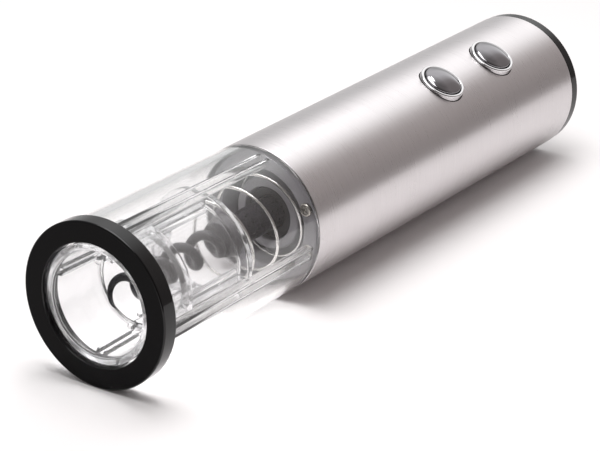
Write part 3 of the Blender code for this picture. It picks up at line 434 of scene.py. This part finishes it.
# clear tube
tubeEnd, tubeRadius = spanOf("clear_tube")[1:]
sleeveStart, sleeveEnd, sleeveRadius = spanOf("steel_sleeve")
clearTube = {"bore": 22.6 * mm, "tailRadius": 24.1 * mm, "edge": 0.35 * mm, "gap": 0.3 * mm,
             "railHeight": 2.3 * mm, "railWidth": 1.1 * mm, "railRoot": 0.6 * mm, "railEdge": 0.3 * mm,
             "railInset": 2.0 * mm, "railAngle": 192.0, "railSpread": 8.0, "railPairs": 4}


def railAngle(pair, side=0.0):
    # the rails stand in pairs round the tube; the cup's fins and grips line up with the middle of each pair
    middle = clearTube["railAngle"] + pair * 360 / clearTube["railPairs"]
    return math.radians(middle + side * clearTube["railSpread"])


def buildClearTube():
    bore, tail, edge = clearTube["bore"], clearTube["tailRadius"], clearTube["edge"]
    shoulder, step = ringEnd + clearTube["gap"], sleeveStart - clearTube["gap"]
    outline = filleted([(shoulder, bore, edge), (shoulder, tubeRadius, edge), (step, sleeveRadius, edge),
                        (step, tail, 0), (tubeEnd, tail, edge), (tubeEnd, bore, edge)])
    tube = lathe("clear_tube_moulding", outline, sides=160)
    railPlaces = (shoulder + clearTube["railInset"], step - clearTube["railInset"])
    railRadii = (bore - clearTube["railHeight"], bore + clearTube["railRoot"])
    for pair in range(clearTube["railPairs"]):
        for side in (-0.5, 0.5):
            rail = bar("rail", railPlaces, railRadii, railAngle(pair, side), clearTube["railWidth"],
                       clearTube["railEdge"])
            carve(tube, rail, "UNION")
    place(tube, "clear_tube")
    tube.visible_shadow = False     # lamps shine through it, as they do through clear plastic


buildClearTube()
print("clear tube built")

# guide cup
cupStart, cupEnd, cupFlange = spanOf("guide_cup")
guideCup = {"outer": 19.3 * mm, "neck": 16.2 * mm, "flare": 0.6 * mm, "cork": 13.4 * mm, "seat": 21.0 * mm,
            "rear": 16.2 * mm, "flangeWall": 2.2 * mm, "edge": 0.5 * mm, "bend": 1.0 * mm,
            "flangeBend": 0.8 * mm, "finWidth": 1.4 * mm, "finLead": 1.0 * mm, "finTail": 0.5 * mm,
            "finShy": 0.3 * mm, "root": 1.4 * mm, "grip": 0.9 * mm, "gripLead": 3.0 * mm,
            "gripTail": 1.0 * mm}


def buildGuideCup():
    size = guideCup
    edge, bend, root, width = size["edge"], size["bend"], size["root"], size["finWidth"]
    seat, outer, rear, cork = size["seat"], size["outer"], size["rear"], size["cork"]
    shoulder, flange = seat + outer - rear, cupEnd - size["flangeWall"]
    outline = filleted([(cupStart, size["neck"] + size["flare"], bend), (cupStart, outer, edge),
                        (seat, outer, bend), (shoulder, rear, bend), (flange, rear, size["flangeBend"]),
                        (flange, cupFlange, edge), (cupEnd, cupFlange, edge), (cupEnd, cork, edge),
                        (seat, cork, edge), (seat, size["neck"], edge)])
    cup = lathe("guide_cup_moulding", outline)
    finPlaces = (seat - size["finLead"], flange + size["finTail"])
    finRadii = (rear - root, outer - size["finShy"])
    gripPlaces = (seat + size["gripLead"], cupEnd - size["gripTail"])
    gripRadii = (cork - size["grip"], cork + root)
    for pair in range(clearTube["railPairs"]):
        carve(cup, bar("fin", finPlaces, finRadii, railAngle(pair), width), "UNION")
        carve(cup, bar("grip", gripPlaces, gripRadii, railAngle(pair), width), "UNION")
    place(cup, "guide_cup", "guide_cup", cupAcrylic)
    cup.visible_shadow = False


buildGuideCup()
print("guide cup built")

# spring, worm, hub and spindle
springStart, springEnd, springOuter = spanOf("cup_spring")
hubStart, hubEnd, hubRadius = spanOf("worm_hub")
spindleStart, spindleEnd, spindleRadius = spanOf("output_spindle")
spring = {"wire": 0.5 * mm, "turns": 3.1, "firstAngle": 0, "perTurn": 64, "sides": 12}
worm = {"tip": 9.8 * mm, "end": 61.2 * mm, "helix": 3.9 * mm, "wire": 1.6 * mm, "pitch": 11.7 * mm,
        "firstAngle": -90, "point": 0.22, "taper": 0.6, "swell": 0.8, "perTurn": 40, "sides": 20}
hub = {"front": 5.8 * mm, "frontEdge": 0.5 * mm, "flare": 1.0 * mm, "edge": 0.3 * mm}
spindle = {"edge": 0.4 * mm, "gap": 0.15 * mm, "sealEdge": 0.5 * mm, "bushEdge": 0.2 * mm}


def helixPoints(start, end, radius, turns, size):
    count = round(turns * size["perTurn"])
    first = math.radians(size["firstAngle"])
    return [at(start + (end - start) * i / count, radius, first + 2 * math.pi * turns * i / count)
            for i in range(count + 1)]


def buildSpring():
    wire = spring["wire"]
    points = helixPoints(springStart + wire, springEnd - wire, springOuter - wire, spring["turns"], spring)
    coil = sweep("cup_spring_wire", points, [wire] * len(points), spring["sides"])
    place(coil, "cup_spring")
    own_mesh(coil)


def buildWorm():
    # one helix of thick wire, drawn out to a point over the first part of a turn
    tip, end, point = worm["tip"], worm["end"], worm["point"]
    points = helixPoints(tip, end, worm["helix"], (end - tip) / worm["pitch"], worm)
    taper = worm["taper"] * worm["pitch"]
    shares = [((p.x - mouthX - tip) / taper) ** worm["swell"] for p in points]
    radii = [worm["wire"] * min(1.0, point + (1 - point) * share) for share in shares]
    place(sweep("worm_wire", points, radii, worm["sides"]), "worm", "worm_drive")


def buildHub():
    edge = hub["edge"]
    profile = filleted([(hubStart, 0, 0), (hubStart, hub["front"], hub["frontEdge"]),
                        (hubEnd - hub["flare"], hubRadius, edge), (hubEnd, hubRadius, edge), (hubEnd, 0, 0)])
    place(lathe("worm_hub_moulding", profile, sides=72, closed=False), "worm_hub", "worm_drive")


def buildSpindle():
    edge = spindle["edge"]
    profile = filleted([(spindleStart, 0, 0), (spindleStart, spindleRadius, edge),
                        (spindleEnd, spindleRadius, edge), (spindleEnd, 0, 0)])
    shaft = lathe("output_spindle_shaft", profile, sides=72, closed=False)
    place(shaft, "output_spindle", "worm_drive")


def buildSeal():
    # the rubber seal and the bronze bush behind it are plain rings round the spindle
    bore = spindleRadius + spindle["gap"]
    for node, edge in (("spindle_seal", spindle["sealEdge"]), ("output_bush", spindle["bushEdge"])):
        start, end, radius = spanOf(node)
        outline = filleted([(start, bore, edge), (start, radius, edge), (end, radius, edge),
                            (end, bore, edge)])
        place(lathe(node + "_ring", outline, sides=96), node)


buildSpring()
buildWorm()
buildHub()
buildSpindle()
buildSeal()
print("spring and worm built")

# steel sleeve
steelSleeve = {"wall": 0.8 * mm, "edge": 0.18 * mm, "hole": 8.25 * mm, "holeFrom": 15 * mm,
               "holeTo": 32 * mm}
# a button is pressed the opposite way to the one in which it stands out
pressAxis = next(j["axis"] for j in frame["joints"] if j["name"] == "rear_button_press")
buttonAxis = -Vector(pressAxis)
buttonPlaces = {}
for buttonName in ("rear", "front"):
    low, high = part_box(buttonName + "_bezel")
    buttonPlaces[buttonName] = Vector(((low.x + high.x) / 2, 0, axisZ))


def buildSleeve():
    bore, edge, hole = sleeveRadius - steelSleeve["wall"], steelSleeve["edge"], steelSleeve["hole"]
    outline = filleted([(sleeveStart, bore, edge), (sleeveStart, sleeveRadius, edge),
                        (sleeveEnd, sleeveRadius, edge), (sleeveEnd, bore, edge)], 3)
    tube = lathe("steel_sleeve_tube", outline, sides=240)
    low, high = steelSleeve["holeFrom"], steelSleeve["holeTo"]
    for origin in buttonPlaces.values():
        carve(tube, spin("hole", [(low, 0), (low, hole), (high, hole), (high, 0)], origin, buttonAxis, 96))
    place(tube, "steel_sleeve")


buildSleeve()
print("steel sleeve built")

# buttons and their bezels; heights are from the sleeve's skin
button = {"radius": 6.6 * mm, "sink": 3.5 * mm, "shoulder": 0.95 * mm, "bend": 0.6 * mm, "bendSteps": 4,
          "stand": 3.2 * mm, "crownSteps": 14}
bezel = {"radius": 8.0 * mm, "wall": 1.1 * mm, "sink": 2.4 * mm, "stand": 0.9 * mm, "outerEdge": 0.55 * mm,
         "innerEdge": 0.3 * mm}


def buildButton(name, origin):
    # straight up to the shoulder, round it, then a crown that is a parabola
    radius, bend = button["radius"], button["bend"]
    low, shoulder = sleeveRadius - button["sink"], sleeveRadius + button["shoulder"]
    profile = [(low, 0), (low, radius), (shoulder, radius)]
    for step in range(button["bendSteps"]):
        angle = math.pi / 2 * step / button["bendSteps"]
        profile.append((shoulder + bend * math.sin(angle), radius - bend * (1 - math.cos(angle))))
    crown = sleeveRadius + button["stand"] - shoulder - bend
    for step in range(1, button["crownSteps"] + 1):
        left = 1 - step / button["crownSteps"]
        profile.append((shoulder + bend + crown * (1 - left ** 2), (radius - bend) * left))
    # the cap takes the chrome slot, whose darker tone is painted shade
    place(spin(name + "_button_cap", profile, origin, buttonAxis, 96), name + "_button", name + "_button")


def buildBezel(name, origin):
    outer, inner = bezel["radius"], bezel["radius"] - bezel["wall"]
    low, top = sleeveRadius - bezel["sink"], sleeveRadius + bezel["stand"]
    outline = filleted([(low, inner, 0), (low, outer, 0), (top, outer, bezel["outerEdge"]),
                        (top, inner, bezel["innerEdge"])])
    ring = spin(name + "_bezel_ring", outline, origin, buttonAxis, 96, closed=True)
    # the bezel takes the lit copy of the chrome, painted brighter than the caps' shaded chrome
    place(ring, name + "_bezel", finish=litChromeCopy)


for buttonName, buttonPlace in buttonPlaces.items():
    buildButton(buttonName, buttonPlace)
    buildBezel(buttonName, buttonPlace)
print("buttons built")

# bulkhead behind the clear tube, and its four screws
bulkStart, bulkEnd, bulkRadius = spanOf("bulkhead")
bulkhead = {"rim": 22.3 * mm, "rimLength": 7.0 * mm, "rimEdge": 1.2 * mm, "backEdge": 0.2 * mm,
            "grooveOuter": 16.2 * mm, "grooveInner": 12.2 * mm, "grooveFloor": 92.0 * mm,
            "grooveEdge": 0.8 * mm, "bossStart": 85.0 * mm, "sealHole": 8.9 * mm, "sealEdge": 0.5 * mm,
            "bushHole": 7.95 * mm, "bushStart": 89.6 * mm, "screwHole": 1.3 * mm, "holeFrom": -1 * mm,
            "holeTo": 30 * mm}
screw = {"head": 2.1 * mm, "height": 1.26 * mm, "headEdge": 0.55 * mm, "rimEdge": 0.1 * mm,
         "shank": 1.0 * mm, "tipEdge": 0.3 * mm, "slotLong": 1.5 * mm, "slotWide": 0.42 * mm,
         "slotDeep": 0.8 * mm, "slotTurn": 0.35}
screwNodes = [f"cover_screw_{number}" for number in range(1, 5)]


def screwAxis(node):
    low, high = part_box(node)
    return (low.y + high.y) / 2, (low.z + high.z) / 2


def buildBulkhead():
    size = bulkhead
    rim, outer, inner, floor = size["rim"], size["grooveOuter"], size["grooveInner"], size["grooveFloor"]
    edge, back, seal, bush = size["grooveEdge"], size["backEdge"], size["sealHole"], size["bushHole"]
    step, boss, inside = bulkStart + size["rimLength"], size["bossStart"], size["bushStart"]
    outline = filleted([(bulkStart, outer, edge), (bulkStart, rim, size["rimEdge"]), (step, rim, 0),
                        (step, bulkRadius, back), (bulkEnd, bulkRadius, back), (bulkEnd, bush, 0),
                        (inside, bush, 0), (inside, seal, 0), (boss, seal, size["sealEdge"]),
                        (boss, inner, edge), (floor, inner, edge), (floor, outer, edge)])
    cover = lathe("bulkhead_moulding", outline)
    hole, low, high = size["screwHole"], size["holeFrom"], size["holeTo"]
    for node in screwNodes:
        middle = Vector((bulkStart + mouthX, *screwAxis(node)))
        carve(cover, spin("hole", [(low, 0), (low, hole), (high, hole), (high, 0)], middle, (1, 0, 0), 24))
    place(cover, "bulkhead")


def buildScrew(node):
    # pan head with a cross cut in it
    low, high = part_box(node)
    top, under, head, shank = low.x, low.x + screw["height"], screw["head"], screw["shank"]
    profile = filleted([(top, 0, 0), (top, head, screw["headEdge"]), (under, head, screw["rimEdge"]),
                        (under, shank, 0), (high.x, shank, screw["tipEdge"]), (high.x, 0, 0)], 4)
    made = spin(node + "_pan_head", profile, Vector((0, *screwAxis(node))), (1, 0, 0), 32)
    for turn in (screw["slotTurn"], screw["slotTurn"] + math.pi / 2):
        slotBar = bmesh.new()
        bmesh.ops.create_cube(slotBar, size=1.0)
        cutter = meshObject("slot", slotBar)
        cutter.scale = (2 * screw["slotDeep"], 2 * screw["slotLong"], screw["slotWide"])
        cutter.rotation_euler = (turn, 0, 0)
        cutter.location = (top, *screwAxis(node))
        carve(made, cutter)
    place(made, node)


buildBulkhead()
for screwNode in screwNodes:
    buildScrew(screwNode)
print("bulkhead built")

# end cap
capStart, capEnd, capRadius = spanOf("end_cap")
endCap = {"rimStart": 239.6 * mm, "skirt": 22.4 * mm, "skirtBore": 21.1 * mm, "skirtEdge": 0.2 * mm,
          "floor": 240.8 * mm, "floorEdge": 0.3 * mm, "edge": 0.6 * mm, "grooveOuter": 19.5 * mm,
          "grooveInner": 18.3 * mm, "grooveDeep": 0.35 * mm, "grooveSlope": 0.3 * mm, "grooveEdge": 0.1 * mm}


def buildEndCap():
    size = endCap
    floor, skirt, bore, thin = size["floor"], size["skirt"], size["skirtBore"], size["skirtEdge"]
    # a fine groove runs round the cap's flat end
    groove, outer, inner = capEnd - size["grooveDeep"], size["grooveOuter"], size["grooveInner"]
    slope, crisp = size["grooveSlope"], size["grooveEdge"]
    profile = filleted([(floor, 0, 0), (floor, bore, size["floorEdge"]), (capStart, bore, thin),
                        (capStart, skirt, thin), (size["rimStart"], skirt, 0),
                        (size["rimStart"], capRadius, thin), (capEnd, capRadius, size["edge"]),
                        (capEnd, outer, crisp), (groove, outer - slope, crisp),
                        (groove, inner + slope, crisp), (capEnd, inner, crisp), (capEnd, 0, 0)])
    place(lathe("end_cap_moulding", profile, sides=192, closed=False), "end_cap", "end_cap")


buildEndCap()
print("end cap built")

# floor, lamp and camera
stage = {"low": (-2.5, -0.27), "high": (0.9, 3.0), "gap": 0.05 * mm}
softbox = {"place": (-0.06, 0.04, 0.85), "target": (0, 0, 0.02), "size": (0.7, 0.5), "power": 6.0}
studio = {"camera": (-0.6325, -0.4371, 0.3365), "pitch": 67.02, "turn": -54.63, "lens": 150.4,
          "sensor": 36.0, "nearest": 0.01}
# the room by share of the way from the low back over the top to the low front, with its light and its
# warmth: a light wall behind, a long bright ceiling panel, and a darker, warmer room in front
room = {"strength": 1.6, "dim": 0.5, "fadeEnd": 0.45, "lessGreen": 0.08, "lessBlue": 0.10,
        "stops": [(0.0, 0.78, 0), (0.14, 0.68, 0), (0.20, 0.84, 0), (0.26, 1.15, 0), (0.34, 1.45, 0),
                  (0.47, 1.45, 0), (0.55, 1.1, 0.2), (0.62, 0.70, 0.6), (0.70, 0.50, 0.9), (0.82, 0.43, 1),
                  (0.92, 0.36, 1), (1.0, 0.32, 1)]}


def buildStage():
    # a white table top that ends a short way in front of the opener, so its edge is mirrored in the steel
    low, high = stage["low"], stage["high"]
    bm = bmesh.new()
    # the opener lies on its ring and its rear edge, so the table is drawn tilted by that much
    slope = (ringRadius - sleeveRadius) / (ringHigh.x - ringLow.x + capEnd - ringEnd)
    corners = [bm.verts.new((x, y, (x - mouthX) * slope - stage["gap"]))
               for x, y in (low, (high[0], low[1]), high, (low[0], high[1]))]
    bm.faces.new(corners)
    floor = meshObject("floor", bm)
    paper = startMaterial("white paper sweep", "#f5f2f2", 0.9, Specular_IOR_Level=0.1)[0]
    floor.data.materials.append(paper)


def buildLamp():
    light = bpy.data.lights.new("overhead softbox", "AREA")
    light.shape = "RECTANGLE"
    light.size, light.size_y = softbox["size"]
    light.energy = softbox["power"]
    lamp = bpy.data.objects.new("overhead softbox", light)
    lamp.location = softbox["place"]
    aim = Vector(softbox["target"]) - Vector(softbox["place"])
    lamp.rotation_euler = aim.to_track_quat("-Z", "Y").to_euler()
    bpy.context.scene.collection.objects.link(lamp)


def buildWorld():
    world = bpy.data.worlds.new("studio")
    world.use_nodes = True
    bpy.context.scene.world = world
    tree = world.node_tree
    coords = addNode(tree, "TexCoord")
    parts = addNode(tree, "SeparateXYZ", links={"Vector": (coords, "Generated")})
    height = addNode(tree, "Math", {1: 0.0}, {0: (parts, "Z")}, operation="MAXIMUM")
    angle = addNode(tree, "Math", {}, {0: (height, 0), 1: (parts, "Y")}, operation="ARCTAN2")
    share = addNode(tree, "Math", {1: math.pi}, {0: (angle, 0)}, operation="DIVIDE")
    wall = addNode(tree, "ValToRGB", links={"Fac": (share, "Value")})
    points = wall.color_ramp.elements
    while len(points) < len(room["stops"]):
        points.new(0.5)
    for point, (position, light, warm) in zip(points, room["stops"]):
        level = light / room["strength"]
        green, blue = 1 - room["lessGreen"] * warm, 1 - room["lessBlue"] * warm
        point.position = position
        point.color = (level, level * green, level * blue, 1.0)
    background = tree.nodes["Background"]
    tree.links.new(wall.outputs["Color"], background.inputs["Color"])
    # the end of the room behind the mouth is left dim, so that the shadow under the opener stays deep
    fade = addNode(tree, "MapRange", {"From Min": 0.0, "From Max": room["fadeEnd"], "To Min": room["dim"],
                                      "To Max": room["strength"]}, {"Value": (parts, "X")})
    tree.links.new(fade.outputs["Result"], background.inputs["Strength"])


def buildCamera():
    scene = bpy.context.scene
    scene.view_settings.view_transform = "Standard"
    camera = bpy.data.objects.new("camera", bpy.data.cameras.new("camera"))
    camera.location = studio["camera"]
    camera.rotation_euler = (math.radians(studio["pitch"]), 0, math.radians(studio["turn"]))
    camera.data.lens = studio["lens"]
    camera.data.sensor_width = studio["sensor"]
    camera.data.sensor_fit = "HORIZONTAL"
    camera.data.clip_start = studio["nearest"]
    scene.collection.objects.link(camera)
    scene.camera = camera


buildStage()
buildCamera()
buildWorld()
buildLamp()
print("studio built")
